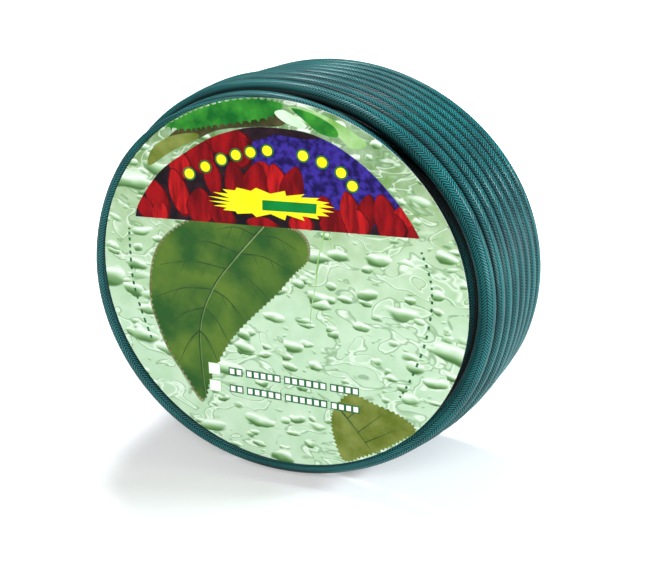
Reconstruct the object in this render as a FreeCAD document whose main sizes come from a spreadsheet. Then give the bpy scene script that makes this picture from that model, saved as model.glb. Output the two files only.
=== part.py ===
"""Coiled garden hose with a round label disc.

The coil stands on its rim. X is across the coil, Y runs through it from the label in front (-Y) to the back,
and Z is up. The origin is on the floor, under the middle of the coil. Lengths are in millimetres.
"""
import FreeCAD, Part
import math
import os

import Sketcher
from FreeCAD import Placement, Rotation, Vector

DIMENSIONS = {
    # hose wall: liner inside, knitted yarn around it, translucent cover outside
    "hose_od": 16.5,
    "yarn_od": 15.0,
    "liner_od": 14.4,
    "hose_bore": 12.5,
    "end_length": 60.0,
    # wound coil
    "turn_pitch": 16.7,
    "outer_turns": 8,
    "inner_turns": 7,
    "layer_gap": 0.3,
    "half_width": 204.0,
    "half_height": 198.2,
    "floor_sag": 1.6,
    "depth": 171.2,
    "ring_front": 36.4,
    # front turns, which lie flat behind the label
    "front_half_width": 193.6,
    "front_half_height": 191.1,
    "front_side": -4.8,
    "front_up": 199.7,
    # label
    "label_radius": 185.0,
    "label_side": 0.6,
    "label_up": 209.8,
    "label_thickness": 0.8,
    "pad_thickness": 0.8,
    "pad_width": 12.0,
    "pad_length": 30.0,
    # cable ties
    "strap_width": 7.6,
    "strap_thickness": 1.2,
    "strap_play": 0.1,
    "head_height": 6.0,
    "head_length": 12.0,
    "tail_length": 38.0,
    "tail_gap": 1.0,
}

doc = FreeCAD.newDocument("garden_hose_coil")
sheet = doc.addObject("Spreadsheet::Sheet", "dims")
for row, (name, value) in enumerate(DIMENSIONS.items(), start=1):
    sheet.set(f"A{row}", name)
    sheet.set(f"B{row}", str(value))
    sheet.setAlias(f"B{row}", name)
doc.recompute()


def dim(name):
    """Value of one cell of the sheet."""
    return float(sheet.get(name))


def bind(obj, **expressions):
    """Bind properties to expressions; a double underscore in a name stands for a dot."""
    for prop, expression in expressions.items():
        obj.setExpression(prop.replace("__", "."), expression)


# Places that follow from the sheet, as expressions and as numbers
RING_FIRST_Y = "dims.ring_front - dims.depth / 2 + dims.hose_od / 2"
LABEL_BACK_Y = "dims.label_thickness - dims.depth / 2"
ARC_OFFSET = "(dims.half_width - dims.half_height) / (2 - sqrt(2))"
COIL_CENTRE_Z = "(dims.half_height - dims.floor_sag)"

hose_r = dim("hose_od") / 2
label_back_y = dim("label_thickness") - dim("depth") / 2
front_turn_y = label_back_y + dim("pad_thickness") + hose_r
ring_front_y = dim("ring_front") - dim("depth") / 2
ring_first_y = ring_front_y + hose_r
ring_back_y = ring_first_y + (dim("outer_turns") - 1) * dim("turn_pitch") + hose_r
coil_centre_z = dim("half_height") - dim("floor_sag")
arc_offset = (dim("half_width") - dim("half_height")) / (2 - math.sqrt(2))

# Turns local Z towards the front, -Y, and local Y up, so local angles run anticlockwise seen from the front
FACE_FRONT = Rotation(Vector(1, 0, 0), 90)


def facing_front(turn_deg=0):
    return FACE_FRONT.multiply(Rotation(Vector(0, 0, 1), turn_deg))


def along(direction):
    """Rotation that takes local Z to a direction."""
    return Rotation(Vector(0, 0, 1), direction)


# --- wound coil -----------------------------------------------------------------------------------------------
# The outline is an oval of four tangent quarter arcs: the two side arcs are smaller than the top and bottom ones.
QUADRANTS = [
    # start angle, centre X, centre Z from the coil's centre, outer radius of the arc
    ("right", -45, ARC_OFFSET, "0", f"(dims.half_width - {ARC_OFFSET})"),
    ("top", 45, "0", f"-{ARC_OFFSET}", f"(dims.half_height + {ARC_OFFSET})"),
    ("left", 135, f"-{ARC_OFFSET}", "0", f"(dims.half_width - {ARC_OFFSET})"),
    ("bottom", 225, "0", ARC_OFFSET, f"(dims.half_height + {ARC_OFFSET})"),
]
OUTER_LAYER = "dims.hose_od / 2"
INNER_LAYER = "(1.5 * dims.hose_od + dims.layer_gap)"


def place_quarter(obj, quadrant, y_expression):
    _, start, centre_x, centre_z, _ = quadrant
    obj.Placement = Placement(Vector(), facing_front(start))
    bind(obj, Placement__Base__x=centre_x, Placement__Base__y=y_expression,
         Placement__Base__z=f"{COIL_CENTRE_Z} + {centre_z}")


def quarter_turn(quadrant, layer, depth_in, index):
    """A quarter of one turn of hose, as part of a torus."""
    torus = doc.addObject("Part::Torus", f"turn_{quadrant[0]}")
    bind(torus, Radius1=f"{quadrant[4]} - {depth_in}", Radius2="dims.hose_od / 2", Angle3="90")
    place_quarter(torus, quadrant, f"{RING_FIRST_Y} + {index} * dims.turn_pitch")
    return torus


def quarter_core(quadrant):
    """The packed middle of the bundle, from turn centre to turn centre."""
    walls = []
    for depth_in in (OUTER_LAYER, INNER_LAYER):
        wall = doc.addObject("Part::Cylinder", f"core_{quadrant[0]}")
        bind(wall, Radius=f"{quadrant[4]} - {depth_in}", Angle="90",
             Height="(dims.outer_turns - 1) * dims.turn_pitch")
        place_quarter(wall, quadrant, f"{RING_FIRST_Y} + (dims.outer_turns - 1) * dims.turn_pitch")
        walls.append(wall)
    core = doc.addObject("Part::Cut", f"core_ring_{quadrant[0]}")
    core.Base, core.Tool = walls
    return core


def fuse(label, shapes):
    union = doc.addObject("Part::MultiFuse", label)
    union.Shapes = shapes
    union.Refine = True
    return union


def make_coil():
    quarters = []
    for quadrant in QUADRANTS:
        pieces = [quarter_core(quadrant)]
        for index in range(int(dim("outer_turns"))):
            pieces.append(quarter_turn(quadrant, "outer", OUTER_LAYER, index))
        for index in range(int(dim("inner_turns"))):
            pieces.append(quarter_turn(quadrant, "inner", INNER_LAYER, index))
        quarters.append(fuse(f"quarter_{quadrant[0]}", pieces))
    ring = fuse("ring", quarters)
    floor = doc.addObject("Part::Box", "floor_block")
    bind(floor, Length="2 * dims.half_width", Width="2 * dims.depth", Height="10 * dims.floor_sag",
         Placement__Base__x="-dims.half_width", Placement__Base__y="-dims.depth",
         Placement__Base__z="-10 * dims.floor_sag")
    coil = doc.addObject("Part::Cut", "hose_coil")
    coil.Base, coil.Tool = ring, floor
    coil.Label = "hose_coil"
    return coil


# --- loose stretches of hose ----------------------------------------------------------------------------------
def smooth_step(low, high, value):
    share = min(max((value - low) / (high - low), 0.0), 1.0)
    return share * share * (3 - 2 * share)


def mix(first, second, share):
    return first + (second - first) * share


CORNER_OUTSET = 1 / 0.9675   # the tube runs inside the corners of a path with a corner every 30 degrees
INNER_TAIL_Y = label_back_y + 25.8


def front_turn_point(angle_deg):
    """Path of the last turn, which comes forward from the ring at the lower right to lie behind the label."""
    angle = math.radians(angle_deg)
    to_front = smooth_step(20, 100, -angle_deg)
    half_x = mix(dim("half_width"), dim("front_half_width"), to_front) - hose_r
    half_z = mix(dim("half_height"), dim("front_half_height"), to_front) - hose_r
    x = mix(0, dim("front_side"), to_front) + half_x * CORNER_OUTSET * math.cos(angle)
    z = mix(coil_centre_z, dim("front_up"), to_front) + half_z * CORNER_OUTSET * math.sin(angle)
    forward = smooth_step(-8, 122, -angle_deg)
    return Vector(x, mix(front_turn_y + 29.8, front_turn_y, forward), max(z, hose_r))


def third_layer_point(angle_deg, y=ring_first_y):
    """Path of the partial turn inside the two full layers, level with the ring's first turn."""
    angle = math.radians(angle_deg)
    inset = hose_r + 2 * (dim("hose_od") + dim("layer_gap"))
    return Vector((dim("half_width") - inset) * CORNER_OUTSET * math.cos(angle), y,
                  coil_centre_z + (dim("half_height") - inset) * CORNER_OUTSET * math.sin(angle))


FRONT_TURN_DEGREES = [-60 - 30 * index for index in range(8)]
# Behind the label the hose spirals in to its outer end, which points down on the right of the eye
OUTER_TAIL = [Vector(x, front_turn_y, z) for x, z in ((70, 358), (115, 306), (127, 247), (127, 192))]
# The inner end points down on the left, between the front turn and the ring. From it the hose goes over the top,
# dips inside the label's edge on the right and runs on as the third layer
INNER_TAIL = [Vector(x, INNER_TAIL_Y, z) for x, z in (
    (-150, 215), (-150, 265), (-133, 329), (-76, 381), (-5, 391), (65, 373), (119, 332), (151, 272))]
THIRD_LAYER_START = [(-8, INNER_TAIL_Y + 6), (-38, ring_first_y)]
THIRD_LAYER_DEGREES = [-68, -98, -128, -158, -188, -218, -248, -278]
DOWN = Vector(0, 0, -1)


def rounded_path(points):
    """Straight runs joined by tangent arcs, each as large as its two runs allow."""
    edges = []
    radii = []
    last = points[0]
    for before, corner, after in zip(points, points[1:], points[2:]):
        back, ahead = before - corner, after - corner
        shorter = min(back.Length, ahead.Length)
        half_turn = (math.pi - back.getAngle(ahead)) / 2
        trim = 0.45 * shorter
        radii.append(trim / math.tan(half_turn))
        back.normalize()
        ahead.normalize()
        start, end = corner + back * trim, corner + ahead * trim
        bisector = back + ahead
        bisector.normalize()
        middle = corner + bisector * (radii[-1] / math.cos(half_turn) - radii[-1])
        edges.append(Part.LineSegment(last, start).toShape())
        edges.append(Part.Arc(start, middle, end).toShape())
        last = end
    edges.append(Part.LineSegment(last, points[-1]).toShape())
    return Part.Wire(edges), radii


def make_tube(label, points):
    wire, radii = rounded_path(points)
    section = Part.Wire(Part.makeCircle(hose_r, points[0], points[1] - points[0]))
    solid = wire.makePipeShell([section], True, False)
    tube = doc.addObject("Part::Feature", label)
    tube.Shape = solid
    tube.Label = label
    expected = math.pi * hose_r ** 2 * wire.Length
    print(f"{label}: length {wire.Length:.0f}, smallest radius {min(radii):.0f}, "
          f"volume {solid.Volume / expected:.4f} of section times length")
    return tube


def make_sleeve(label, outer, inner, place):
    """One layer of the hose's wall along a straight end."""
    body = doc.addObject("PartDesign::Body", label)
    body.Label = label
    sketch = body.newObject("Sketcher::SketchObject", f"{label}_section")
    plane = next(f for f in body.Origin.OriginFeatures if f.Role == "XY_Plane")
    sketch.AttachmentSupport = [(plane, "")]
    sketch.MapMode = "FlatFace"
    for diameter in (outer, inner):
        circle = sketch.addGeometry(Part.Circle(Vector(), Vector(0, 0, 1), dim(diameter) / 2), False)
        sketch.addConstraint(Sketcher.Constraint("Coincident", circle, 3, -1, 1))
        sketch.addConstraint(Sketcher.Constraint("Diameter", circle, dim(diameter)))
        sketch.setExpression(f"Constraints[{sketch.ConstraintCount - 1}]", f"dims.{diameter}")
    pad = body.newObject("PartDesign::Pad", f"{label}_pad")
    pad.Profile = sketch
    bind(pad, Length="dims.end_length")
    body.Placement = place
    return body


def make_end(name, start, direction):
    """The three layers of the wall at one end of the hose; they start where the loose stretch stops."""
    place = Placement(start, along(direction))
    make_sleeve(f"{name}_cover", "hose_od", "yarn_od", place)
    make_sleeve(f"{name}_yarn", "yarn_od", "liner_od", place)
    make_sleeve(f"{name}_liner", "liner_od", "hose_bore", place)


# --- label ----------------------------------------------------------------------------------------------------
def make_label():
    body = doc.addObject("PartDesign::Body", "label_disc")
    body.Label = "label_disc"
    sketch = body.newObject("Sketcher::SketchObject", "label_outline")
    plane = next(f for f in body.Origin.OriginFeatures if f.Role == "XY_Plane")
    sketch.AttachmentSupport = [(plane, "")]
    sketch.MapMode = "FlatFace"
    sketch.addGeometry(Part.Circle(Vector(), Vector(0, 0, 1), dim("label_radius")), False)
    sketch.addConstraint(Sketcher.Constraint("Coincident", 0, 3, -1, 1))
    sketch.addConstraint(Sketcher.Constraint("Radius", 0, dim("label_radius")))
    sketch.setExpression("Constraints[1]", "dims.label_radius")
    pad = body.newObject("PartDesign::Pad", "label_pad")
    pad.Profile = sketch
    bind(pad, Length="dims.label_thickness")
    body.Placement = Placement(Vector(), facing_front())
    bind(body, Placement__Base__x="dims.label_side", Placement__Base__y=LABEL_BACK_Y,
         Placement__Base__z="dims.label_up")


# Middle of each foam pad across the coil and up, and how it is turned
PADS = [(-51, 371, 14.8), (33, 370, -18.1), (92.5, 332, -49.1), (121, 276.5, -78.5), (127, 241, -88)]


def make_pads():
    """Self-adhesive foam pads between the label and the hose behind it."""
    pads = []
    for x, z, angle in PADS:
        pad = doc.addObject("Part::Box", "foam_pad")
        bind(pad, Length="dims.pad_length", Width="dims.pad_width", Height="dims.pad_thickness")
        corner = Rotation(Vector(0, 0, 1), angle).multVec(Vector(dim("pad_length"), dim("pad_width"), 0) * -0.5)
        place = Placement(Vector(x, label_back_y + dim("pad_thickness"), z), facing_front())
        pad.Placement = place.multiply(Placement(corner, Rotation(Vector(0, 0, 1), angle)))
        pads.append(pad)
    compound = doc.addObject("Part::Compound", "label_pads")
    compound.Links = pads
    compound.Label = "label_pads"


# --- cable ties -----------------------------------------------------------------------------------------------
def make_tie(label, quadrant, angle_deg):
    """A strap pulled tight around the whole bundle, with its head and cut-off tail inside the eye."""
    outer_radius = {"left": dim("half_width") - arc_offset, "bottom": dim("half_height") + arc_offset}[quadrant]
    centre = {"left": Vector(-arc_offset, 0, coil_centre_z),
              "bottom": Vector(0, 0, coil_centre_z + arc_offset)}[quadrant]
    layer = dim("hose_od") + dim("layer_gap")
    first = outer_radius - hose_r
    # In the tie's own frame X points out from the middle of the coil and Y to the back
    corners = [
        Vector(first, ring_first_y, 0),
        Vector(first, ring_first_y + (dim("outer_turns") - 1) * dim("turn_pitch"), 0),
        Vector(first - layer, ring_first_y + (dim("inner_turns") - 1) * dim("turn_pitch"), 0),
        Vector(first - 2 * layer, ring_first_y, 0),
    ]
    run = corners[3] - corners[2]
    middle = (corners[2] + corners[3]) * 0.5
    place = Placement(centre, Rotation(Vector(0, 1, 0), -angle_deg))

    path = doc.addObject("Part::Polygon", f"{label}_path")
    path.Nodes = corners
    path.Close = True
    inside = doc.addObject("Part::Offset2D", f"{label}_inside")
    inside.Source = path
    bind(inside, Value="dims.hose_od / 2 + dims.strap_play")
    band = doc.addObject("Part::Offset2D", f"{label}_band")
    band.Source = inside
    band.Fill = True
    bind(band, Value="dims.strap_thickness")
    strap = doc.addObject("Part::Extrusion", f"{label}_strap")
    strap.Base = band
    strap.DirMode = "Custom"
    strap.Dir = Vector(0, 0, 1)
    strap.Solid = True
    strap.Symmetric = True
    bind(strap, LengthFwd="dims.strap_width")

    # Frame on the strap's inner face: X along the run to the front, Z into the eye
    run.normalize()
    into_eye = Vector(0, 0, 1).cross(run)
    if into_eye.x > 0:
        into_eye = into_eye * -1
    turned = Rotation(run, Vector(), into_eye, "ZXY")
    surface = middle + into_eye * (hose_r + dim("strap_play") + dim("strap_thickness"))
    head = doc.addObject("Part::Box", f"{label}_head")
    bind(head, Length="dims.head_length", Width="dims.strap_width + 2", Height="dims.head_height")
    head.Placement = Placement(surface, turned).multiply(
        Placement(Vector(-dim("head_length") / 2, -dim("strap_width") / 2 - 1, -0.3), Rotation()))
    tail = doc.addObject("Part::Box", f"{label}_tail")
    bind(tail, Length="dims.tail_length", Width="dims.strap_width", Height="dims.strap_thickness")
    tail.Placement = Placement(surface, turned).multiply(
        Placement(Vector(-dim("tail_length") - 3, -dim("strap_width") / 2, dim("tail_gap")), Rotation()))

    tie = fuse(label, [strap, head, tail])
    tie.Placement = place
    tie.Label = label


# --- build ----------------------------------------------------------------------------------------------------
make_coil()
make_tube("hose_front_turn", [front_turn_point(angle) for angle in FRONT_TURN_DEGREES] + OUTER_TAIL)
make_tube("hose_inner_tail", INNER_TAIL + [third_layer_point(*place) for place in THIRD_LAYER_START]
          + [third_layer_point(angle) for angle in THIRD_LAYER_DEGREES])
make_end("outer_end", OUTER_TAIL[-1], DOWN)
make_end("inner_end", INNER_TAIL[0], DOWN)
make_label()
make_pads()
make_tie("binding_tie_upper", "left", 150)
make_tie("binding_tie_left", "bottom", 230)
make_tie("binding_tie_right", "bottom", 300)
doc.recompute()

NODES = [
    "hose_coil", "hose_front_turn", "hose_inner_tail",
    "outer_end_cover", "outer_end_yarn", "outer_end_liner",
    "inner_end_cover", "inner_end_yarn", "inner_end_liner",
    "label_disc", "label_pads",
    "binding_tie_upper", "binding_tie_left", "binding_tie_right",
]

for obj in doc.Objects:
    if "Invalid" in obj.State or "Error" in obj.State:
        raise RuntimeError(f"{obj.Label} is {obj.State}")
os.makedirs("parts", exist_ok=True)
for node in NODES:
    obj = doc.getObjectsByLabel(node)[0]
    shape = obj.Shape
    if shape.isNull() or not shape.isValid() or not shape.Solids:
        raise RuntimeError(f"{node} has no valid shape")
    box = shape.optimalBoundingBox(False)
    print(f"{node}: {len(shape.Solids)} solid(s), x {box.XMin:.1f} to {box.XMax:.1f}, "
          f"y {box.YMin:.1f} to {box.YMax:.1f}, z {box.ZMin:.1f} to {box.ZMax:.1f}")
    shape.exportStep(f"parts/{node}.step")
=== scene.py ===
"""Coiled garden hose with a round label disc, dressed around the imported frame."""
import math

import bpy
import numpy as np
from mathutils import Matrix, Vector


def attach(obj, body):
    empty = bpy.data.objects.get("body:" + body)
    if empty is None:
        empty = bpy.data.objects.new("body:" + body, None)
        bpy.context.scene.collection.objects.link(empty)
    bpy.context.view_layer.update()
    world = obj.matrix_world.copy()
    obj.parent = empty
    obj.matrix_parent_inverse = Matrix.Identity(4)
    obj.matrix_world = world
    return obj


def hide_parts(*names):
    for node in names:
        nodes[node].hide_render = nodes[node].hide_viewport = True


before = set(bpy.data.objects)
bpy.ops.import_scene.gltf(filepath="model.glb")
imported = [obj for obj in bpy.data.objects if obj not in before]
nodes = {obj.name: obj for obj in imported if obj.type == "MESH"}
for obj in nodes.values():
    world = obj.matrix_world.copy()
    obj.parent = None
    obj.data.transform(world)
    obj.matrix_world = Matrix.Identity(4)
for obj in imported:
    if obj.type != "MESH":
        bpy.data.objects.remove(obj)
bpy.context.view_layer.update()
scene = bpy.context.scene
MM = 0.001

# ---------------------------------------------------------------- camera
TARGET = Vector((0.0, 0.0, 0.2))
AZIMUTH, ELEVATION, DISTANCE = math.radians(22.5), math.radians(23.42), 1.6542
to_camera = Vector((math.sin(AZIMUTH) * math.cos(ELEVATION), -math.cos(AZIMUTH) * math.cos(ELEVATION),
                    math.sin(ELEVATION)))
camera_data = bpy.data.cameras.new("camera")
camera_data.sensor_width = 36.0
camera_data.lens = 91.73
camera_data.shift_x = 0.0255
camera_data.shift_y = -0.0387
camera_data.clip_start, camera_data.clip_end = 0.1, 50.0
camera = bpy.data.objects.new("camera", camera_data)
scene.collection.objects.link(camera)
camera.location = TARGET + to_camera * DISTANCE
camera.rotation_mode = "QUATERNION"
camera.rotation_quaternion = (-to_camera).to_track_quat("-Z", "Y")
scene.camera = camera


# ---------------------------------------------------------------- the hose's route, in millimetres
HOSE_R = 8.25
PITCH = 16.7
LAYER = 17.4
LABEL_FRONT = -85.6
FRONT_TURN = 9.85      # hose centre behind the label's front face, in the front turn
RING_FRONT = 44.65     # the same for the ring's first turn
HALF_X, HALF_Z = 204.1, 198.16
LEAN = 0.082           # the back turns sit further to the right
WIDEN, FLATTEN = 0.008, -0.037     # how the oval's half axes change with depth
SAG = 1.6
# the front turn is smaller than the ring and sits further right and higher
FRONT_INSET, FRONT_RIGHT, FRONT_UP = 9.9, 1.4, 10.3
OUTER_TURNS, SECOND_TURNS = 8, 6.5
SECOND_DEEPER = 8                  # the second layer's first turn lies this much behind the ring's
SECOND_FRONT = RING_FRONT + SECOND_DEEPER
THIRD_INSET = 2.3                  # third layer, in layers inside the outer one
PER_TURN = 24
STEP = 360 / PER_TURN
OUTSET = 1 / (0.75 + 0.25 * math.cos(math.radians(STEP)))   # a spline runs inside its control points
# how much larger or smaller each turn's radius is, back turn first
TURN_SIZES = [-1.6, 0.1, 0.6, 1.8, 2.2, 1.5, 1.4, -1.2]
# how much further out the front turn hangs, by angle
FRONT_ANGLES = [-180, -150, -110, -75, -40, 0, 100, 125, 142, 155, 168, 180]
FRONT_OUT = [1.2, 1.5, 2.0, 3.2, 0.5, 0, 1.5, 3.5, 4.5, 1.8, 0.4, 1.2]


def smooth(low, high, value):
    share = min(max((value - low) / (high - low), 0.0), 1.0)
    return share * share * (3 - 2 * share)


def oval(angle_deg, behind_label, inset=0.0, to_front=0.0):
    """A control point on the coil's oval at one depth; to_front blends to the smaller, higher front turn."""
    angle = math.radians(angle_deg)
    y = behind_label + LABEL_FRONT
    half_x = HALF_X - HOSE_R + WIDEN * y - FRONT_INSET * to_front - inset
    half_z = HALF_Z - HOSE_R + FLATTEN * y - FRONT_INSET * to_front
    x = half_x * OUTSET * math.cos(angle) + LEAN * y + FRONT_RIGHT * to_front
    z = (half_z - inset) * OUTSET * math.sin(angle) + half_z + HOSE_R - SAG + FRONT_UP * to_front
    return Vector((x, y, max(z, HOSE_R)))


def outer_depth(turn):
    """Depth behind the label's front of the outer layer, counted in turns from the top left; the last turn
    comes forward at the lower right to lie behind the label."""
    depth = FRONT_TURN - PITCH * turn + 1.4
    return depth + (FRONT_TURN - depth) * smooth(-1.7, -1.33, turn)


def outer_point(turn):
    middles = [k + 0.5 - OUTER_TURNS - 1 for k in range(OUTER_TURNS)]
    size = float(np.interp(turn, middles, TURN_SIZES)) * smooth(1.2, 1.7, -turn)
    angle = 110 - 360 * turn
    from_slump = ((angle + 32 + 180) % 360 - 180) / 18      # the back turns bulge at the lower right
    slump = 3 * math.exp(-from_slump ** 2) * smooth(2.7, 3.7, -turn)
    from_rise = ((angle - 116 + 180) % 360 - 180) / 16      # the first turns of the ring rise at the top left
    rise = 3.5 * math.exp(-from_rise ** 2) * smooth(1.6, 1.9, -turn) * (1 - smooth(4.2, 5.2, -turn))
    to_front = smooth(-1.64, -1.42, turn)
    hang = float(np.interp((angle + 180) % 360 - 180, FRONT_ANGLES, FRONT_OUT)) * to_front
    return oval(angle, outer_depth(turn), -size - slump - rise - hang, to_front)


def plane(points, depth):
    return [Vector((x, depth + LABEL_FRONT, z)) for x, z in points]


TAIL_DEPTH = 26.6
# distance of the inner tail from the middle of the label, by angle: it shows between the front turn and the
# ring at the top, and dips inside the label's edge on the right
TAIL_ANGLES = [15, 42, 55, 73, 87, 98, 125, 150]
TAIL_REACH = [160, 162, 165, 168, 171.4, 175.5, 182, 181]


def tail_point(angle_deg):
    reach = float(np.interp(angle_deg, TAIL_ANGLES, TAIL_REACH)) * OUTSET
    angle = math.radians(angle_deg)
    return Vector((0.6 + reach * math.cos(angle), TAIL_DEPTH + LABEL_FRONT, 209.75 + reach * math.sin(angle)))


def hose_route():
    # the inner end: its mouth, the straight stretch, and the tail over the top
    route = plane([(-150, 155), (-150, 215), (-150, 215), (-150, 262)], TAIL_DEPTH)
    angle = 145.0
    while angle > 15:
        route.append(tail_point(angle))
        angle -= STEP
    # third layer, then up onto the second
    while angle > -340:
        depth = (TAIL_DEPTH + (RING_FRONT - TAIL_DEPTH) * smooth(0, 50, 10 - angle)
                 + SECOND_DEEPER * smooth(100, 250, -angle))
        climb = (THIRD_INSET - 1) * smooth(-255, -340, angle)
        route.append(oval(angle, depth, LAYER * (THIRD_INSET - climb)))
        angle -= STEP
    # second layer, to the back
    start = angle
    while angle > start - SECOND_TURNS * 360:
        route.append(oval(angle, SECOND_FRONT + PITCH * (start - angle) / 360, LAYER))
        angle -= STEP
    # up onto the outer layer at the back
    angle += STEP
    sweep = (angle - 110) % 360
    count = round(sweep / STEP) - 1
    first_turn = -OUTER_TURNS - 1
    last_depth, back = SECOND_FRONT + PITCH * SECOND_TURNS, outer_depth(first_turn)
    for share in np.arange(1, count + 1) / (count + 1):
        route.append(oval(angle - sweep * share, last_depth + (back - last_depth) * share,
                          LAYER * (1 - smooth(0, 1, share))))
    # outer layer, to the front and on behind the label to the top left
    for k in range(OUTER_TURNS * PER_TURN + 2):
        route.append(outer_point(first_turn + k / PER_TURN))
    # behind the label the hose spirals in to its outer end
    route += plane([(70, 358), (115, 306), (127, 247), (127, 192), (127, 192), (127, 132)], FRONT_TURN)
    return [p * MM for p in route]


def spline_points(control, resolution):
    """Points along the control points' own NURBS spline."""
    data = bpy.data.curves.new("route", "CURVE")
    data.dimensions = "3D"
    spline = data.splines.new("NURBS")
    spline.points.add(len(control) - 1)
    for point, place in zip(spline.points, control):
        point.co = (*place, 1)
    spline.order_u = 3
    spline.use_endpoint_u = True
    data.resolution_u = resolution
    holder = bpy.data.objects.new("route", data)
    scene.collection.objects.link(holder)
    bpy.context.view_layer.update()
    made = bpy.data.meshes.new_from_object(holder.evaluated_get(bpy.context.evaluated_depsgraph_get()))
    found = np.array([v.co for v in made.vertices], float)
    bpy.data.objects.remove(holder)
    bpy.data.meshes.remove(made)
    shortest = 0.2 * MM
    keep = np.r_[True, np.linalg.norm(np.diff(found, axis=0), axis=1) > shortest]
    return found[keep]


def link_mesh(name, vertices, faces, material=None, smooth_shade=True):
    mesh = bpy.data.meshes.new(name)
    mesh.from_pydata([tuple(v) for v in vertices], [], faces)
    mesh.update()
    if smooth_shade:
        mesh.polygons.foreach_set("use_smooth", [True] * len(mesh.polygons))
    piece = bpy.data.objects.new(name, mesh)
    scene.collection.objects.link(piece)
    if material:
        mesh.materials.append(material)
    return piece


def tube_mesh(name, path, radii, around, material, extra=()):
    """A tube round a path with a UV map: U once round, V the length in metres. extra continues the tube past
    its ends: lists of (offset along the end's direction, radius), for the first and the last end."""
    path = np.asarray(path)
    tangent = np.gradient(path, axis=0)
    tangent /= np.linalg.norm(tangent, axis=1)[:, None]
    centres, tangents, sizes = list(path), list(tangent), list(radii)
    if extra:
        first, last = extra
        before = [path[0] - tangent[0] * o for o, _ in first][::-1]
        centres = before + centres + [path[-1] + tangent[-1] * o for o, _ in last]
        tangents = [tangent[0]] * len(first) + tangents + [tangent[-1]] * len(last)
        sizes = [s for _, s in first][::-1] + sizes + [s for _, s in last]
    centres, tangents, sizes = np.array(centres), np.array(tangents), np.array(sizes)
    out = np.cross(tangents, (0, 1, 0))
    out /= np.linalg.norm(out, axis=1)[:, None]
    side = np.cross(tangents, out)
    turn = np.arange(around) / around * 2 * math.pi
    rings = (centres[:, None] + sizes[:, None, None] * (out[:, None] * np.cos(turn)[None, :, None]
                                                       + side[:, None] * np.sin(turn)[None, :, None]))
    n = len(centres)
    a = np.arange(n - 1)[:, None] * around + np.arange(around)[None]
    b = np.arange(n - 1)[:, None] * around + (np.arange(around)[None] + 1) % around
    faces = np.stack([a, b, b + around, a + around], -1).reshape(-1, 4)
    caps = [list(range(around))[::-1], [int(v) for v in (n - 1) * around + np.arange(around)]]
    piece = link_mesh(name, rings.reshape(-1, 3), faces.tolist() + caps, material)
    steps = np.linalg.norm(np.diff(rings[:, 0], axis=0), axis=1)
    along = np.r_[0, np.cumsum(steps)]
    j = np.arange(around)[None] + np.zeros((n - 1, 1))
    v0, v1 = along[:-1, None] + 0 * j, along[1:, None] + 0 * j
    uv = np.stack([np.stack([j / around, v0], -1), np.stack([(j + 1) / around, v0], -1),
                   np.stack([(j + 1) / around, v1], -1), np.stack([j / around, v1], -1)], 2).reshape(-1, 2)
    uv = np.vstack([uv, np.zeros((2 * around, 2))])
    piece.data.uv_layers.new(name="UVMap").data.foreach_set("uv", uv.astype(np.float32).ravel())
    return piece


# ---------------------------------------------------------------- materials
def new_material(name):
    material = bpy.data.materials.new(name)
    material.use_nodes = True
    tree = material.node_tree
    return material, tree, tree.nodes["Principled BSDF"]


def node(tree, kind, **settings):
    made = tree.nodes.new(kind)
    for key, value in settings.items():
        if key.startswith("in_"):
            made.inputs[int(key[3:])].default_value = value
        else:
            setattr(made, key, value)
    return made


def math_node(tree, operation, *values):
    made = tree.nodes.new("ShaderNodeMath")
    made.operation = operation
    for k, value in enumerate(values):
        if isinstance(value, (int, float)):
            made.inputs[k].default_value = value
        else:
            tree.links.new(value, made.inputs[k])
    return made.outputs[0]


def ramp(tree, value, stops):
    made = tree.nodes.new("ShaderNodeValToRGB")
    ramp_stops = made.color_ramp.elements
    ramp_stops[0].position, ramp_stops[0].color = stops[0][0], (*stops[0][1], 1)
    ramp_stops[1].position, ramp_stops[1].color = stops[-1][0], (*stops[-1][1], 1)
    for place, colour in stops[1:-1]:
        ramp_stops.new(place).color = (*colour, 1)
    tree.links.new(value, made.inputs[0])
    return made.outputs[0]


def tint(r, g, b):
    """A colour as a screen shows it, 0 to 255, in linear light."""
    return tuple((v / 255 / 12.92 if v <= 10 else ((v / 255 + 0.055) / 1.055) ** 2.4) for v in (r, g, b))


def mix_colour(tree, factor, first, second):
    made = tree.nodes.new("ShaderNodeMix")
    made.data_type = "RGBA"
    for socket, value in ((made.inputs[0], factor), (made.inputs[6], first), (made.inputs[7], second)):
        if isinstance(value, (int, float)):
            socket.default_value = value
        elif isinstance(value, tuple):
            socket.default_value = (*value, 1)
        else:
            tree.links.new(value, socket)
    return made.outputs[2]


def noise(tree, scale, detail=2.0, stretch=None):
    place = tree.nodes.new("ShaderNodeTexCoord").outputs["Object"]
    if stretch:
        mapping = tree.nodes.new("ShaderNodeMapping")
        mapping.inputs["Scale"].default_value = stretch
        tree.links.new(place, mapping.inputs[0])
        place = mapping.outputs[0]
    made = tree.nodes.new("ShaderNodeTexNoise")
    made.inputs["Scale"].default_value = scale
    made.inputs["Detail"].default_value = detail
    tree.links.new(place, made.inputs["Vector"])
    return made.outputs[0]


def add_bump(tree, surface, height, strength, distance):
    bump = tree.nodes.new("ShaderNodeBump")
    bump.inputs["Strength"].default_value = strength
    bump.inputs["Distance"].default_value = distance
    tree.links.new(height, bump.inputs["Height"])
    tree.links.new(bump.outputs[0], surface.inputs["Normal"])


CHEVRON_COLUMNS = 5.0      # round the hose
CHEVRON_PITCH = 3.1        # along the hose, in millimetres
CHEVRON_RISE = 3.6         # in pitches, over a whole column's width
PAINTED_SHADE_REACH = 18 * MM     # how far the painted shade between two turns reaches


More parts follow.
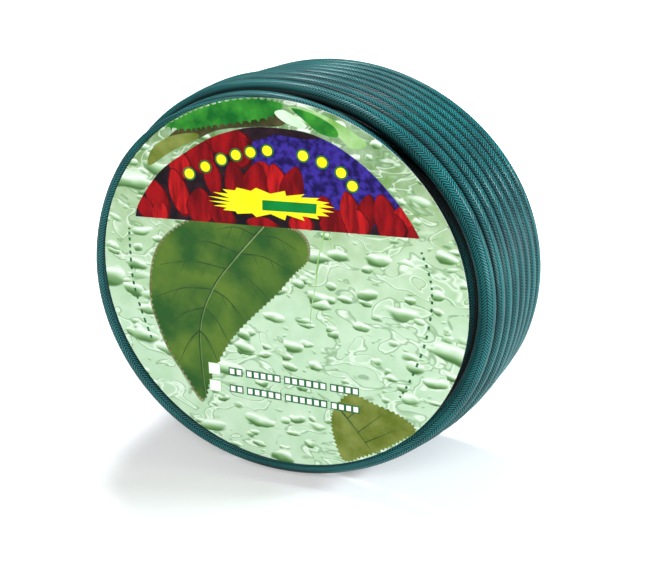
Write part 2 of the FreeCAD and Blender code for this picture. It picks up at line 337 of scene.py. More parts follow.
def hose_material():
    """Teal yarn knitted in rows of small chevrons, seen through a clear cover, with painted shade darkening
    the creases between turns.
    """
    material, tree, surface = new_material("hose")
    uv = node(tree, "ShaderNodeUVMap", uv_map="UVMap").outputs[0]
    split = node(tree, "ShaderNodeSeparateXYZ")
    tree.links.new(uv, split.inputs[0])
    columns = math_node(tree, "MULTIPLY", split.outputs[0], CHEVRON_COLUMNS)
    column = math_node(tree, "FRACT", columns)
    fold = math_node(tree, "ABSOLUTE", math_node(tree, "SUBTRACT", column, 0.5))
    along_mm = math_node(tree, "MULTIPLY", split.outputs[1], 1000.0)
    phase = math_node(tree, "ADD", math_node(tree, "DIVIDE", along_mm, CHEVRON_PITCH),
                      math_node(tree, "MULTIPLY", fold, CHEVRON_RISE))
    rib = math_node(tree, "ABSOLUTE", math_node(tree, "SINE", math_node(tree, "MULTIPLY", phase, math.pi)))
    seam = math_node(tree, "MINIMUM", math_node(tree, "MULTIPLY", fold, 9.0),
                     math_node(tree, "MULTIPLY", math_node(tree, "SUBTRACT", 0.5, fold), 9.0))
    between_seams = math_node(tree, "MINIMUM", math_node(tree, "ADD", seam, 0.5), 1.0)
    knit = math_node(tree, "MULTIPLY", rib, between_seams)
    dark, middle, light = tint(0, 12, 17), tint(1, 82, 84), tint(42, 162, 160)
    colour = ramp(tree, knit, [(0.12, dark), (0.6, middle), (1.0, light)])
    patches = ramp(tree, noise(tree, 24, 3.0), [(0.35, (0.6, 0.66, 0.7)), (0.65, (1.0, 1.0, 1.0))])
    # painted shade: ambient occlusion darkens the knit's colour in the creases between neighbouring turns
    painted_crease_shade = tree.nodes.new("ShaderNodeAmbientOcclusion")
    painted_crease_shade.samples = 6
    painted_crease_shade.inputs["Distance"].default_value = PAINTED_SHADE_REACH
    shade = ramp(tree, painted_crease_shade.outputs["AO"], [(0.55, (0.01, 0.02, 0.025)), (1.0, (1.0, 1.0, 1.0))])
    for factor in (patches, shade):
        times = tree.nodes.new("ShaderNodeMix")
        times.data_type, times.blend_type = "RGBA", "MULTIPLY"
        times.inputs[0].default_value = 1.0
        tree.links.new(colour, times.inputs[6])
        tree.links.new(factor, times.inputs[7])
        colour = times.outputs[2]
    tree.links.new(colour, surface.inputs["Base Color"])
    surface.inputs["Roughness"].default_value = 0.33
    surface.inputs["Specular IOR Level"].default_value = 0.26
    surface.inputs["Coat Weight"].default_value = 0.08
    surface.inputs["Coat Roughness"].default_value = 0.15
    add_bump(tree, surface, knit, 0.8, 0.0006)
    return material


YARN_LINES = 2400.0        # radians of the weave in a metre


def yarn_material():
    material, tree, surface = new_material("yarn")
    place = tree.nodes.new("ShaderNodeTexCoord").outputs["Object"]
    split = tree.nodes.new("ShaderNodeSeparateXYZ")
    tree.links.new(place, split.inputs[0])
    slant = math_node(tree, "MULTIPLY",
                      math_node(tree, "ADD", split.outputs[0], split.outputs[2]), YARN_LINES)
    other = math_node(tree, "MULTIPLY",
                      math_node(tree, "SUBTRACT", split.outputs[0], split.outputs[2]), YARN_LINES)
    cross = math_node(tree, "MAXIMUM", math_node(tree, "SINE", slant), math_node(tree, "SINE", other))
    colour = ramp(tree, cross, [(0.1, tint(120, 160, 155)), (0.9, tint(225, 232, 228))])
    tree.links.new(colour, surface.inputs["Base Color"])
    surface.inputs["Roughness"].default_value = 0.8
    add_bump(tree, surface, cross, 0.5, 0.0002)
    return material


def plastic_material(name, low, high, roughness, grain=350.0):
    material, tree, surface = new_material(name)
    speckle = noise(tree, grain, 3.0)
    tree.links.new(ramp(tree, speckle, [(0.3, low), (0.7, high)]), surface.inputs["Base Color"])
    surface.inputs["Roughness"].default_value = roughness
    add_bump(tree, surface, speckle, 0.12, 0.0002)
    return material


def print_material(name, low, high, scale=60.0, stretch=(1, 1, 1), detail=3.0, middle=0.5, spread=0.15):
    """Glossy printed card whose colour wanders between two shades."""
    material, tree, surface = new_material(name)
    shade = noise(tree, scale, detail, stretch)
    colour = ramp(tree, shade, [(middle - spread, low), (middle + spread, high)])
    tree.links.new(colour, surface.inputs["Base Color"])
    surface.inputs["Roughness"].default_value = 0.35
    surface.inputs["Specular IOR Level"].default_value = 0.1
    return material


def droplet_layer(tree, base, scale, size, keep, stretch, seed):
    """Water drops lit from the upper right, with a dark lower edge, over the colour base."""
    place = tree.nodes.new("ShaderNodeTexCoord").outputs["Object"]
    mapping = tree.nodes.new("ShaderNodeMapping")
    mapping.inputs["Location"].default_value = (seed, 0.0, seed * 0.7)
    mapping.inputs["Rotation"].default_value = (0.0, 0.35, 0.0)
    mapping.inputs["Scale"].default_value = stretch
    tree.links.new(place, mapping.inputs[0])
    warp = tree.nodes.new("ShaderNodeTexNoise")
    warp.inputs["Scale"].default_value = scale * 0.9
    tree.links.new(mapping.outputs[0], warp.inputs["Vector"])
    push = tree.nodes.new("ShaderNodeVectorMath")
    push.operation = "MULTIPLY_ADD"
    push.inputs[1].default_value = (0.9 / scale, 0.0, 0.9 / scale)
    tree.links.new(warp.outputs[1], push.inputs[0])
    tree.links.new(mapping.outputs[0], push.inputs[2])
    flat = tree.nodes.new("ShaderNodeVectorMath")
    flat.operation = "MULTIPLY"
    flat.inputs[1].default_value = (1.0, 0.0, 1.0)
    tree.links.new(push.outputs[0], flat.inputs[0])
    cells = tree.nodes.new("ShaderNodeTexVoronoi")
    cells.inputs["Scale"].default_value = scale
    tree.links.new(flat.outputs[0], cells.inputs["Vector"])
    offset = tree.nodes.new("ShaderNodeVectorMath")
    offset.operation = "SUBTRACT"
    tree.links.new(flat.outputs[0], offset.inputs[0])
    tree.links.new(cells.outputs["Position"], offset.inputs[1])
    lean = tree.nodes.new("ShaderNodeVectorMath")
    lean.operation = "DOT_PRODUCT"
    lean.inputs[1].default_value = (0.45 * scale, 0.0, 0.9 * scale)
    tree.links.new(offset.outputs[0], lean.inputs[0])
    colours = tree.nodes.new("ShaderNodeSeparateColor")
    tree.links.new(cells.outputs["Color"], colours.inputs[0])
    chosen = math_node(tree, "GREATER_THAN", keep, colours.outputs[0])
    reach = math_node(tree, "MULTIPLY", math_node(tree, "ADD", colours.outputs[1], 0.6), size)
    inside = math_node(tree, "SUBTRACT", reach, cells.outputs["Distance"])
    inside = math_node(tree, "MAXIMUM", math_node(tree, "MULTIPLY", inside, 14.0), 0.0)
    inside = math_node(tree, "MINIMUM", inside, 1.0)
    towards_light = math_node(tree, "DIVIDE", lean.outputs["Value"], size * 2.2)
    shade = ramp(tree, math_node(tree, "ADD", towards_light, 0.5),
                 [(0.1, tint(74, 116, 62)), (0.32, tint(120, 160, 106)), (0.52, tint(176, 208, 168)),
                  (0.78, tint(238, 250, 236)), (1.0, tint(205, 226, 198))])
    return mix_colour(tree, math_node(tree, "MULTIPLY", inside, chosen), base, shade)


def ripple_layer(tree, base, scale, stretch, seed, strength):
    """Thin wandering ridges of water: a dark lower line with a white one above it."""
    place = tree.nodes.new("ShaderNodeTexCoord").outputs["Object"]
    mapping = tree.nodes.new("ShaderNodeMapping")
    mapping.inputs["Location"].default_value = (seed, 0.0, seed)
    mapping.inputs["Rotation"].default_value = (0.0, 0.25, 0.0)
    mapping.inputs["Scale"].default_value = stretch
    tree.links.new(place, mapping.inputs[0])
    waves = tree.nodes.new("ShaderNodeTexNoise")
    waves.inputs["Scale"].default_value = scale
    waves.inputs["Detail"].default_value = 1.5
    waves.inputs["Distortion"].default_value = 1.2
    tree.links.new(mapping.outputs[0], waves.inputs["Vector"])
    colour = ramp(tree, waves.outputs[0], [(0.50, tint(186, 216, 180)), (0.525, tint(82, 124, 72)),
                                           (0.55, tint(150, 186, 140)), (0.575, tint(246, 253, 244)),
                                           (0.62, tint(190, 220, 184))])
    where = ramp(tree, waves.outputs[0], [(0.49, (0.0,) * 3), (0.52, (1.0,) * 3), (0.585, (1.0,) * 3),
                                          (0.63, (0.0,) * 3)])
    return mix_colour(tree, math_node(tree, "MULTIPLY", where, strength), base, colour)


def card_material():
    """The label's pale green ground with drops and ripples of water, yellower towards the top."""
    material, tree, surface = new_material("label_ground")
    place = tree.nodes.new("ShaderNodeTexCoord").outputs["Object"]
    split = tree.nodes.new("ShaderNodeSeparateXYZ")
    tree.links.new(place, split.inputs[0])
    height = math_node(tree, "ADD", split.outputs[2], math_node(tree, "MULTIPLY", noise(tree, 14, 2.0), 0.09))
    height = math_node(tree, "SUBTRACT", height, math_node(tree, "MULTIPLY", split.outputs[0], 0.1))
    ground = ramp(tree, height, [(0.22, tint(180, 212, 176)), (0.29, tint(164, 196, 150)),
                                 (0.345, tint(122, 160, 90)), (0.40, tint(84, 128, 56))])
    patches = ramp(tree, noise(tree, 40, 4.0), [(0.35, (0.0,) * 3), (0.75, (0.55,) * 3)])
    ground = mix_colour(tree, patches, ground, tint(218, 236, 214))
    ground = ripple_layer(tree, ground, 26.0, (1.1, 1.0, 1.7), 0.4, 0.55)
    ground = droplet_layer(tree, ground, 60.0, 0.3, 0.9, (1.0, 1.0, 1.5), 0.31)
    ground = droplet_layer(tree, ground, 40.0, 0.3, 0.7, (0.9, 1.0, 1.6), 0.53)
    ground = droplet_layer(tree, ground, 27.0, 0.3, 0.6, (0.8, 1.0, 1.6), 0.17)
    # the back and the edge are plain grey board
    behind = math_node(tree, "GREATER_THAN", split.outputs[1], (LABEL_FRONT + 0.1) * MM)
    board = ramp(tree, noise(tree, 700, 4.0), [(0.35, tint(176, 172, 162)), (0.7, tint(206, 203, 194))])
    tree.links.new(mix_colour(tree, behind, ground, board), surface.inputs["Base Color"])
    surface.inputs["Roughness"].default_value = 0.35
    surface.inputs["Specular IOR Level"].default_value = 0.12
    return material


hose_look = hose_material()

# ---------------------------------------------------------------- hose
line = spline_points(hose_route(), 8)
WALL_MOUTH = 7.5 * MM      # inner radius of the cover, which the yarn fills
LIP_ROUND = 0.25 * MM
MOUTH_DEPTH = 12 * MM      # how far the cover's inside is made, from each cut end
R = HOSE_R * MM
lip = [(0.0, R - LIP_ROUND), (0.0, WALL_MOUTH), (-MOUTH_DEPTH, WALL_MOUTH)]
sizes = np.full(len(line), R)
hose = tube_mesh("garden_hose", line, sizes, 24, hose_look, (lip, lip))
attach(hose, "root")
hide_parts("hose_coil", "hose_front_turn", "hose_inner_tail", "outer_end_cover", "inner_end_cover")


# ---------------------------------------------------------------- cable ties
STRAP_GAP = 0.3 * MM
STRAP_HALF_WIDTH, STRAP_THICKNESS = 3.8 * MM, 1.2 * MM


def tie_path(angle_deg):
    """The closed way round the ring's strands at an angle, in (outwards, back) from the ring's middle."""
    angle = math.radians(angle_deg)
    outwards = np.array([math.cos(angle), 0, math.sin(angle)])
    across = np.array([-math.sin(angle), 0, math.cos(angle)])
    centre = np.array([0, 0, 0.198])
    rel = line - centre
    side = rel @ across
    hits = np.nonzero((side[:-1] * side[1:] <= 0) & (rel[:-1] @ outwards > 0.1) & (line[:-1, 1] > -0.052))[0]
    spots = []
    for k in hits:
        share = side[k] / (side[k] - side[k + 1])
        spot = line[k] + (line[k + 1] - line[k]) * share - centre
        spots.append((spot @ outwards, spot[1]))
    ring = []
    turn = np.arange(0, 360, 10) * math.pi / 180
    for u, v in spots:
        ring += [(u + (R + STRAP_GAP) * math.cos(t), v + (R + STRAP_GAP) * math.sin(t)) for t in turn]
    ring = sorted(ring)

    def half(points):
        hull = []
        for p in points:
            while len(hull) > 1 and ((hull[-1][0] - hull[-2][0]) * (p[1] - hull[-2][1])
                                     - (hull[-1][1] - hull[-2][1]) * (p[0] - hull[-2][0])) <= 0:
                hull.pop()
            hull.append(p)
        return hull[:-1]

    return half(ring) + half(ring[::-1]), outwards, across, centre


def make_cable_tie(name, angle_deg, material):
    hull, outwards, across, centre = tie_path(angle_deg)
    hull = np.array(hull)
    ahead = np.roll(hull, -1, 0) - np.roll(hull, 1, 0)
    normal = np.stack([ahead[:, 1], -ahead[:, 0]], 1)
    normal /= np.linalg.norm(normal, axis=1)[:, None]
    profile = [(-1, 0), (-1, 0.8), (-0.86, 1), (0.86, 1), (1, 0.8), (1, 0)]
    vertices, faces, n = [], [], len(hull)
    for p, out in zip(hull, normal):
        for w, t in profile:
            u, v = p + out * STRAP_THICKNESS * t
            vertices.append(centre + outwards * u + np.array([0, 1, 0]) * v + across * w * STRAP_HALF_WIDTH)
    m = len(profile)
    for k in range(n):
        for j in range(m):
            a, b = k * m + j, k * m + (j + 1) % m
            c, d = ((k + 1) % n) * m + (j + 1) % m, ((k + 1) % n) * m + j
            faces.append((a, b, c, d))
    # the head sits on the strap's longest run inside the ring, with the tail's free end beyond it
    inside = [run for run in zip(hull, np.roll(hull, -1, 0)) if (run[0] + run[1])[0] / 2 < hull[:, 0].mean()]
    ends = sorted(max(inside, key=lambda run: np.linalg.norm(run[1] - run[0])), key=lambda end: end[1])
    seat = (ends[0] + ends[1]) / 2
    back = (ends[1] - ends[0]) / np.linalg.norm(ends[1] - ends[0])
    out_of_seat = np.array([back[1], -back[0]])

    def block(low_u, high_u, low_v, high_v, width, bevel, taper=1.0):
        start = len(vertices)
        for v, scale in ((low_v, 1 - bevel / width), (low_v + bevel, 1), (high_v - bevel, taper),
                         (high_v, taper - bevel / width)):
            w = width * scale
            for du, dw in ((low_u, -w), (low_u, w), (high_u, w * 0.9), (high_u, -w * 0.9)):
                u, y = seat + out_of_seat * du + back * v
                vertices.append(centre + outwards * u + np.array([0, 1, 0]) * y + across * dw)
        for s in range(3):
            for j in range(4):
                a, b = start + s * 4 + j, start + s * 4 + (j + 1) % 4
                faces.append((a, b, b + 4, a + 4))
        faces.append(tuple(start + j for j in (3, 2, 1, 0)))
        faces.append(tuple(start + 12 + j for j in (0, 1, 2, 3)))

    # the head and then the tail: from and to out of the strap, from and to along it, half width and bevel
    block(-6 * MM, 0, -6 * MM, 6 * MM, 5 * MM, 0.8 * MM)
    block(-4.2 * MM, -3 * MM, 5.8 * MM, 36 * MM, 3.6 * MM, 0.4 * MM, 0.75)
    piece = link_mesh(name, vertices, faces, material, False)
    bevel = piece.modifiers.new("soft", "BEVEL")
    bevel.width, bevel.segments, bevel.limit_method = 0.25 * MM, 2, "ANGLE"
    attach(piece, "root")
    return piece


tie_look = plastic_material("tie_nylon", tint(14, 14, 15), tint(30, 30, 31), 0.45)
for name, angle in (("binding_tie_upper", 150), ("binding_tie_left", 230), ("binding_tie_right", 300)):
    tie = make_cable_tie(name.replace("binding", "cable"), angle, tie_look)
    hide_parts(name)


# ---------------------------------------------------------------- label
LABEL_X, LABEL_Z, LABEL_R = 0.6, 209.8, 184.8


def curve_through(points, steps=6, closed=True):
    """A rounded line through the points."""
    count, out = len(points), []
    p = [np.array(q, float) for q in points]
    for k in range(count if closed else count - 1):
        a = p[k - 1] if closed or k else p[k]
        b, c = p[k], p[(k + 1) % count]
        d = p[(k + 2) % count] if closed or k + 2 < count else c
        for j in range(steps):
            t = j / steps
            out.append(0.5 * (2 * b + (c - a) * t + (2 * a - 5 * b + 4 * c - d) * t * t
                              + (3 * b - a - 3 * c + d) * t ** 3))
    if not closed:
        out.append(p[-1])
    return out


def ragged(outline, tooth, every=2, lean=0.0):
    """The outline with a tooth at every so many of its points."""
    outline = [np.array(q) for q in outline]
    count, out = len(outline), []
    middle = sum(outline) / count
    for k, q in enumerate(outline):
        ahead = outline[(k + 1) % count] - outline[k - 1]
        side = np.array([ahead[1], -ahead[0]])
        size = np.linalg.norm(side)
        side = side / size if size else side
        if side @ (q - middle) < 0:
            side = -side
        out.append(q)
        if k % every == 0:
            out.append((q + outline[(k + 1) % count]) / 2 + side * tooth + ahead / (size or 1) * lean)
    return out


def petal(x, z, width, height, tilt=0.0, point=0.35):
    """A tulip petal: round below, coming to a soft point at the top."""
    out = []
    for k in range(20):
        t = 2 * math.pi * k / 20
        up = math.sin(t)
        wide = math.cos(t) * (1 - point * max(up, 0) ** 1.5)
        u, v = wide * width / 2, up * height / 2
        a = math.radians(tilt)
        out.append((x + u * math.cos(a) - v * math.sin(a), z + u * math.sin(a) + v * math.cos(a)))
    return out


def stripe(points, width, taper=0.25):
    """A vein or brush stroke along the points, thinner towards its end."""
    p = [np.array(q, float) for q in points]
    left, right = [], []
    for k, q in enumerate(p):
        ahead = p[min(k + 1, len(p) - 1)] - p[max(k - 1, 0)]
        side = np.array([-ahead[1], ahead[0]]) / (np.linalg.norm(ahead) or 1)
        w = width / 2 * (1 - (1 - taper) * k / (len(p) - 1))
        left.append(q + side * w)
        right.append(q - side * w)
    return left + right[::-1]


# (outline in label radii from the label's middle, level in quarters of a millimetre above the card, material)
label_shapes = []
LEVEL_STEP = 0.003     # each shape lies this much above the one before, so that no two share a plane
LEVEL_HEIGHT = 0.25


def show(outline, level, material):
    label_shapes.append((outline, level + LEVEL_STEP * len(label_shapes), material))


ink = {
    "leaf": print_material("ink_leaf", tint(44, 88, 38), tint(92, 122, 46), 26, detail=4.0),
    "leaf_edge": print_material("ink_leaf_edge", tint(112, 100, 72), tint(142, 146, 112), 60),
    "vein": print_material("ink_vein", tint(38, 66, 34), tint(60, 88, 50), 80),
    "vein_light": print_material("ink_vein_light", tint(110, 140, 80), tint(140, 160, 100), 80),
    "olive": print_material("ink_olive", tint(96, 112, 36), tint(130, 142, 70), 50),
    "bright": print_material("ink_bright_leaf", tint(14, 98, 34), tint(62, 152, 48), 50),
    "brown": print_material("ink_shade", tint(44, 50, 24), tint(84, 76, 48), 60),
    "dark": print_material("ink_dark", tint(20, 14, 22), tint(46, 26, 34), 90),
    "red": print_material("ink_red", tint(98, 4, 13), tint(156, 12, 20), 55, (2.2, 1, 0.6)),
    "red_shade": print_material("ink_red_shade", tint(60, 3, 9), tint(104, 6, 14), 60, (2.2, 1, 0.6)),
    "red_glow": print_material("ink_red_glow", tint(122, 10, 16), tint(196, 24, 27), 60, (3, 1, 0.5)),
    "indigo": print_material("ink_indigo", tint(26, 16, 78), tint(58, 44, 148), 150, detail=5.0, spread=0.1),
    "yellow": print_material("ink_yellow", tint(246, 232, 20), tint(255, 242, 40), 40),
    "green": print_material("ink_green", tint(0, 112, 44), tint(10, 134, 56), 40),
    "white": print_material("ink_white", tint(240, 246, 240), tint(252, 255, 252), 40),
    "forest": print_material("ink_forest", tint(34, 92, 50), tint(58, 116, 70), 60),
    "drop": print_material("ink_drop", tint(196, 226, 190), tint(232, 246, 230), 50),
    "pale": print_material("ink_pale_leaf", tint(120, 176, 84), tint(176, 214, 150), 45),
}

# leaves and plants at the top edge of the card
show(curve_through([(-0.62, 0.70), (-0.48, 0.72), (-0.33, 0.80), (-0.15, 0.84), (0.02, 0.87), (0.04, 0.93),
                    (-0.10, 0.93), (-0.35, 0.87), (-0.52, 0.80)]), 0.05, ink["brown"])
strip = curve_through([(-0.61, 0.785), (-0.48, 0.79), (-0.37, 0.82), (-0.21, 0.86), (-0.04, 0.91),
                       (0.02, 0.96), (0.0, 0.985), (-0.13, 0.985), (-0.28, 0.955), (-0.42, 0.90),
                       (-0.53, 0.84)], 8)
show(ragged(strip, 0.016, 2), 0.1, ink["bright"])
show(curve_through([(0.05, 0.97), (0.12, 0.93), (0.30, 0.86), (0.38, 0.80), (0.46, 0.83), (0.36, 0.90),
                    (0.20, 0.96)]), 0.05, ink["pale"])
show(curve_through([(0.07, 0.965), (0.13, 0.915), (0.22, 0.855), (0.31, 0.85), (0.29, 0.90), (0.18, 0.95)]),
     0.1, ink["bright"])
show(curve_through([(-0.02, 0.93), (0.03, 0.89), (0.11, 0.87), (0.15, 0.885), (0.08, 0.93), (0.02, 0.95)]),
     0.1, ink["drop"])
show(curve_through([(-0.72, 0.56), (-0.58, 0.66), (-0.44, 0.74), (-0.46, 0.77), (-0.60, 0.73),
                    (-0.70, 0.65)]), 0.04, ink["olive"])

# the big leaf hanging below the picture
leaf = curve_through([(-0.09, 0.33), (-0.44, 0.30), (-0.57, 0.24), (-0.67, 0.13), (-0.72, -0.01),
                      (-0.73, -0.19), (-0.69, -0.33), (-0.63, -0.47), (-0.54, -0.60), (-0.45, -0.72),
                      (-0.41, -0.60), (-0.33, -0.42), (-0.25, -0.29), (-0.14, -0.16), (-0.03, -0.04),
                      (0.07, 0.09), (0.14, 0.17), (0.15, 0.25), (0.11, 0.31), (0.05, 0.33)], 5)
leaf_middle = sum(leaf) / len(leaf)
show([leaf_middle + (q - leaf_middle) * 1.035 for q in leaf], 0.05, ink["leaf_edge"])
show(ragged(leaf, 0.013, 1), 0.1, ink["leaf"])
midrib = curve_through([(-0.09, 0.32), (-0.25, 0.12), (-0.38, -0.07), (-0.46, -0.32), (-0.44, -0.70)],
                       6, False)
show(stripe(midrib, 0.016), 0.2, ink["vein"])
show(stripe([q + np.array([0.007, 0.004]) for q in midrib], 0.006), 0.25, ink["vein_light"])
for share, left, right in ((2, (-0.34, 0.27), (0.10, 0.22)), (5, (-0.56, 0.17), (0.06, 0.10)),
                           (8, (-0.68, 0.02), (-0.07, -0.06)), (12, (-0.71, -0.17), (-0.20, -0.22)),
                           (15, (-0.67, -0.35), (-0.29, -0.36)), (18, (-0.58, -0.52), (-0.36, -0.48))):
    root = midrib[share]
    for tip in (left, right):
        bend = (root + np.array(tip)) / 2 + np.array([0.0, 0.03])
        side_vein = curve_through([root, bend, tip], 5, False)
        show(stripe(side_vein, 0.009), 0.15, ink["vein"])
        for k in (3, 6):
            twig = [side_vein[k], side_vein[k] + np.array([0.035 if tip[0] > root[0] else -0.035, -0.075])]
            show(stripe(twig, 0.004), 0.15, ink["vein"])

# the olive leaf at the bottom right
olive = curve_through([(0.31, -0.62), (0.29, -0.70), (0.31, -0.81), (0.36, -0.915), (0.45, -0.875),
                       (0.56, -0.81), (0.66, -0.735), (0.74, -0.66), (0.66, -0.60), (0.52, -0.56),
                       (0.39, -0.53)], 5)
show(ragged(olive, 0.012, 1), 0.1, ink["olive"])
show(stripe([(0.33, -0.62), (0.42, -0.72), (0.50, -0.82)], 0.010), 0.15, ink["vein"])
for start, end in (((0.37, -0.67), (0.47, -0.57)), ((0.43, -0.74), (0.57, -0.60)),
                   ((0.47, -0.79), (0.64, -0.68))):
    show(stripe([start, end], 0.006), 0.15, ink["vein"])

# the picture: a dome of flowers
dome = [(-0.81, 0.27), (-0.78, 0.36), (-0.66, 0.535), (-0.51, 0.66), (-0.37, 0.755), (-0.23, 0.815),
        (-0.11, 0.846), (0.04, 0.855), (0.17, 0.847), (0.32, 0.796), (0.48, 0.695), (0.61, 0.57),
        (0.69, 0.47), (0.74, 0.39)]
rim = curve_through(dome, 5, False)


def inside_dome(outline):
    """The part of an outline that lies in the picture, clipped against the dome's sides one after another."""
    corners = [np.array(q) for q in rim]
    shape = [np.array(q, float) for q in outline]
    for k in range(len(corners)):
        a, b = corners[k], corners[(k + 1) % len(corners)]
        edge = b - a
        if np.linalg.norm(edge) < 1e-9 or not shape:
            continue
        side = [edge[0] * (q[1] - a[1]) - edge[1] * (q[0] - a[0]) for q in shape]
        kept = []
        for j, q in enumerate(shape):
            before, s_before, s_now = shape[j - 1], side[j - 1], side[j]
            if (s_before <= 0) != (s_now <= 0):
                kept.append(before + (q - before) * (s_before / (s_before - s_now)))
            if s_now <= 0:
                kept.append(q)
        shape = kept
    return shape


show(rim, 0.2, ink["dark"])
show(inside_dome([(-0.14, 0.90), (0.9, 0.90), (0.9, 0.42), (0.29, 0.42), (0.10, 0.50), (-0.14, 0.56)]), 0.25,
     ink["indigo"])
show(inside_dome([(-0.16, 0.90), (0.3, 0.90), (0.3, 0.845), (0.15, 0.815), (-0.02, 0.82), (-0.10, 0.78),
                  (-0.16, 0.76)]), 0.3, ink["dark"])
# middle, width, height and tilt of each petal
PETALS = [(-0.28, 0.75, 0.28, 0.15, 8), (-0.43, 0.66, 0.17, 0.20, 20), (-0.55, 0.60, 0.13, 0.20, 34),
          (-0.20, 0.70, 0.13, 0.16, -5), (-0.36, 0.55, 0.10, 0.20, 10), (-0.55, 0.44, 0.12, 0.26, 16),
          (-0.68, 0.40, 0.13, 0.22, 28), (-0.75, 0.33, 0.10, 0.14, 30), (-0.66, 0.31, 0.10, 0.12, -20),
          (-0.43, 0.38, 0.17, 0.20, 0), (-0.31, 0.35, 0.15, 0.12, -12), (-0.09, 0.60, 0.17, 0.14, 0),
          (-0.23, 0.52, 0.13, 0.26, 12), (-0.13, 0.52, 0.16, 0.28, -8), (0.00, 0.55, 0.13, 0.24, 14),
          (0.07, 0.55, 0.13, 0.24, -14), (-0.09, 0.34, 0.18, 0.07, 0), (0.12, 0.37, 0.14, 0.12, 6),
          (0.24, 0.47, 0.11, 0.13, 0), (0.31, 0.40, 0.20, 0.15, 10), (0.38, 0.47, 0.11, 0.22, 12),
          (0.46, 0.47, 0.11, 0.22, -12), (0.56, 0.48, 0.13, 0.22, 14), (0.65, 0.46, 0.13, 0.20, -14),
          (0.70, 0.40, 0.10, 0.10, -10), (0.60, 0.42, 0.16, 0.16, 0), (0.42, 0.41, 0.14, 0.16, 0)]
for k, (x, z, width, height, tilt) in enumerate(PETALS):
    level = 0.35 + 0.015 * k
    shades = ("red", "red", "red_glow")[k % 3]
    show(inside_dome(petal(x, z, width, height * 1.03, tilt)), level, ink["red_shade"])
    face = petal(x - 0.004, z + 0.004, width * 0.89, height * 0.95, tilt)
    show(inside_dome(face), level + 0.006, ink[shades])

# yellow burst with a green bar
burst = []
for k in range(40):
    t = 2 * math.pi * k / 40
    reach = 1.0 if k % 2 else 0.74 + 0.12 * math.sin(3.7 * k)
    burst.append((-0.045 + 0.345 * reach * math.copysign(abs(math.cos(t)) ** 0.8, math.cos(t)),
                  0.452 + 0.072 * (reach + 0.1) * math.sin(t) + 0.02 * math.cos(t)))
show(burst, 0.85, ink["yellow"])
show([(-0.09, 0.467), (0.204, 0.49), (0.2, 0.437), (-0.09, 0.413)], 0.95, ink["green"])
# a row of plain dots where the wording was
round_dot = [t * math.pi / 8 for t in range(16)]
for x, z in ((-0.49, 0.55), (-0.40, 0.60), (-0.31, 0.65), (-0.23, 0.685), (-0.15, 0.71), (-0.06, 0.73),
             (0.13, 0.73), (0.23, 0.71), (0.33, 0.67), (0.39, 0.61)):
    for size, level, colour in ((0.036, 0.85, "forest"), (0.027, 0.95, "yellow")):
        show([(x + size * math.cos(t), z + size * math.sin(t)) for t in round_dot], level, ink[colour])

# two rows of plain squares, each with a box before it, then dashes down the sides and two trails of water
height = 0.03
for left, right in (((-0.289, -0.524), (0.425, -0.504)), ((-0.285, -0.624), (0.432, -0.607))):
    left, right = np.array(left), np.array(right)
    ahead = (right - left) / np.linalg.norm(right - left)
    up = np.array([-ahead[1], ahead[0]])
    start = 0.0
    for word in (2, 5, 6, 4):
        for _ in range(word):
            for grow, level, colour in ((0.007, 0.2, "forest"), (0.0, 0.3, "white")):
                low = left + ahead * (start - grow)
                high = left + ahead * (start + 0.026 + grow)
                show([low - up * (height / 2 + grow), high - up * (height / 2 + grow),
                      high + up * (height / 2 + grow), low + up * (height / 2 + grow)], level, ink[colour])
            start += 0.0395
        start += 0.02
    box = left - ahead * 0.09
    for size, level, colour in ((0.034, 0.2, "pale"), (0.031, 0.3, "white")):
        show([box + ahead * size * i + up * size * j for i, j in ((-1, -1), (1, -1), (1, 1), (-1, 1))], level,
             ink[colour])
left_side = [(-0.85, 0.20), (-0.85, 0.07), (-0.84, -0.10), (-0.80, -0.26), (-0.74, -0.43)]
right_side = [(0.75, 0.32), (0.80, 0.18), (0.81, 0.03), (0.78, -0.17), (0.71, -0.38), (0.65, -0.50)]
for side_line, ticks in ((left_side, 16), (right_side, 20)):
    dense = curve_through(side_line, ticks, False)
    step = len(dense) // ticks
    for k in range(0, len(dense) - step, step):
        show(stripe([dense[k], dense[k + step // 2]], 0.012, 1.0), 0.1, ink["forest"])
long_trail = [(0.25, 0.385), (0.23, 0.28), (0.21, 0.19), (0.20, 0.08), (0.183, -0.03), (0.17, -0.12),
              (0.166, -0.20)]
for trail in (long_trail, [(0.289, 0.392), (0.27, 0.33), (0.274, 0.256)]):
    show(stripe(curve_through(trail, 5, False), 0.009), 0.08, ink["pale"])


def build_label_print():
    looks, vertices, faces, chosen = [], [], [], []
    for outline, level, material in label_shapes:
        points, last = [], None
        for x, z in outline:
            if last is None or math.hypot(x - last[0], z - last[1]) > 1e-4:
                points.append((x, z))
                last = (x, z)
        if len(points) > 2 and math.hypot(points[0][0] - points[-1][0], points[0][1] - points[-1][1]) < 1e-4:
            points.pop()
        if len(points) < 3:
            continue
        area = sum(a[0] * b[1] - b[0] * a[1] for a, b in zip(points, points[1:] + points[:1]))
        if area < 0:
            points = points[::-1]
        if material not in looks:
            looks.append(material)
        start, n = len(vertices), len(points)
        for y in (LABEL_FRONT - LEVEL_HEIGHT * level - 0.02, LABEL_FRONT + 0.3):
            vertices += [((LABEL_X + LABEL_R * x) * MM, y * MM, (LABEL_Z + LABEL_R * z) * MM)
                         for x, z in points]
        faces.append(tuple(range(start, start + n)))
        faces.append(tuple(range(start + 2 * n - 1, start + n - 1, -1)))
        for k in range(n):
            faces.append((start + (k + 1) % n, start + k, start + n + k, start + n + (k + 1) % n))
        chosen += [looks.index(material)] * (n + 2)
    piece = link_mesh("label_print", vertices, faces, None, False)
    for look in looks:
        piece.data.materials.append(look)
    piece.data.polygons.foreach_set("material_index", chosen)
    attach(piece, "root")
    return piece


label_print = build_label_print()


def dress(name, material):
    nodes[name].data.materials.clear()
    nodes[name].data.materials.append(material)


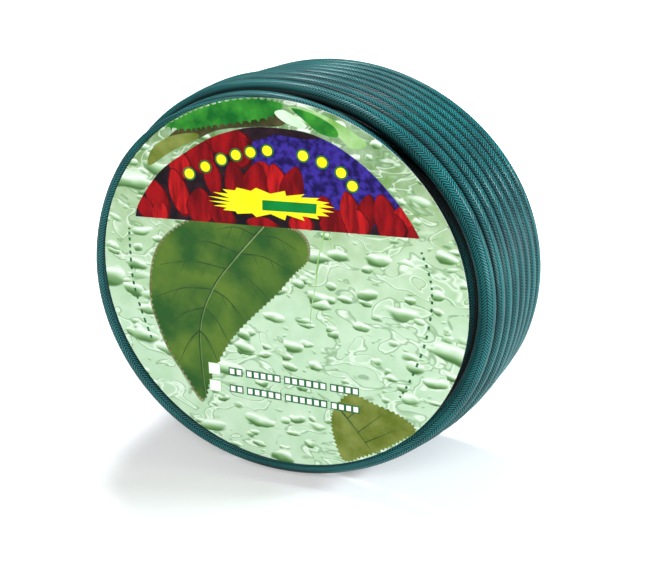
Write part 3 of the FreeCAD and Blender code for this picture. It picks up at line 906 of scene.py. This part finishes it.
dress("label_disc", card_material())
dress("label_pads", plastic_material("foam", tint(205, 205, 200), tint(240, 240, 236), 0.9, 900.0))
yarn_look = yarn_material()
liner_look = plastic_material("liner", tint(20, 60, 46), tint(28, 76, 58), 0.35)
for end in ("outer_end", "inner_end"):
    dress(end + "_yarn", yarn_look)
    dress(end + "_liner", liner_look)

# ---------------------------------------------------------------- floor and light
floor_look, tree, surface = new_material("floor")
surface.inputs["Base Color"].default_value = (0.8, 0.8, 0.8, 1)
surface.inputs["Roughness"].default_value = 0.95
surface.inputs["Specular IOR Level"].default_value = 0.1
surface.inputs["Emission Color"].default_value = (1, 1, 1, 1)
seen = tree.nodes.new("ShaderNodeLightPath").outputs["Is Camera Ray"]
place = tree.nodes.new("ShaderNodeTexCoord").outputs["Object"]
far = tree.nodes.new("ShaderNodeVectorMath")
far.operation = "LENGTH"
tree.links.new(place, far.inputs[0])
# the floor glows more with distance from the coil, in metres, and only where the camera looks at it
GLOW_FROM, GLOW_TO, GLOW_LOW, GLOW_HIGH = 0.18, 0.7, 0.27, 1.0
glow = tree.nodes.new("ShaderNodeMapRange")
glow.interpolation_type = "SMOOTHSTEP"
for socket, value in zip(glow.inputs[1:5], (GLOW_FROM, GLOW_TO, GLOW_LOW, GLOW_HIGH)):
    socket.default_value = value
tree.links.new(far.outputs["Value"], glow.inputs[0])
tree.links.new(math_node(tree, "MULTIPLY", seen, glow.outputs[0]), surface.inputs["Emission Strength"])
FAR = 9
floor = link_mesh("floor", [(-FAR, -FAR, 0), (FAR, -FAR, 0), (FAR, FAR, 0), (-FAR, FAR, 0)], [[0, 1, 2, 3]],
                  floor_look, False)

WORLD_LIGHT, WORLD_EXTRA_SEEN = 0.22, 0.85
world = bpy.data.worlds.new("world")
scene.world = world
world.use_nodes = True
world.node_tree.nodes["Background"].inputs[0].default_value = (0.95, 0.98, 1, 1)
tree = world.node_tree
seen = tree.nodes.new("ShaderNodeLightPath").outputs["Is Camera Ray"]
strength = math_node(tree, "ADD", math_node(tree, "MULTIPLY", seen, WORLD_EXTRA_SEEN), WORLD_LIGHT)
tree.links.new(strength, tree.nodes["Background"].inputs[1])
scene.view_settings.view_transform = "Standard"


def area_light(name, place, aim, size, power, colour=(1, 1, 1), only=()):
    data = bpy.data.lights.new(name, "AREA")
    data.energy = power
    data.size = size
    data.color = colour
    light = bpy.data.objects.new(name, data)
    light.location = place
    light.rotation_mode = "QUATERNION"
    light.rotation_quaternion = (Vector(aim) - Vector(place)).to_track_quat("-Z", "Y")
    scene.collection.objects.link(light)
    if only:
        lit = bpy.data.collections.new(name + "_receivers")
        for piece in only:
            lit.objects.link(piece)
        light.light_linking.receiver_collection = lit


area_light("front_light", (0.25, -2.4, 1.5), (0, 0, 0.2), 1.6, 24)
area_light("label_light", (0.25, -2.4, 1.5), (0, 0, 0.2), 1.6, 36,
           only=(nodes["label_disc"], label_print, floor))
area_light("top_light", (-0.45, 0.55, 1.6), (0, 0, 0.25), 0.35, 22, colour=(0.9, 0.96, 1.0))
area_light("right_light", (1.6, 0.35, 0.95), (0, 0, 0.25), 0.35, 28, colour=(0.8, 0.93, 1.0))
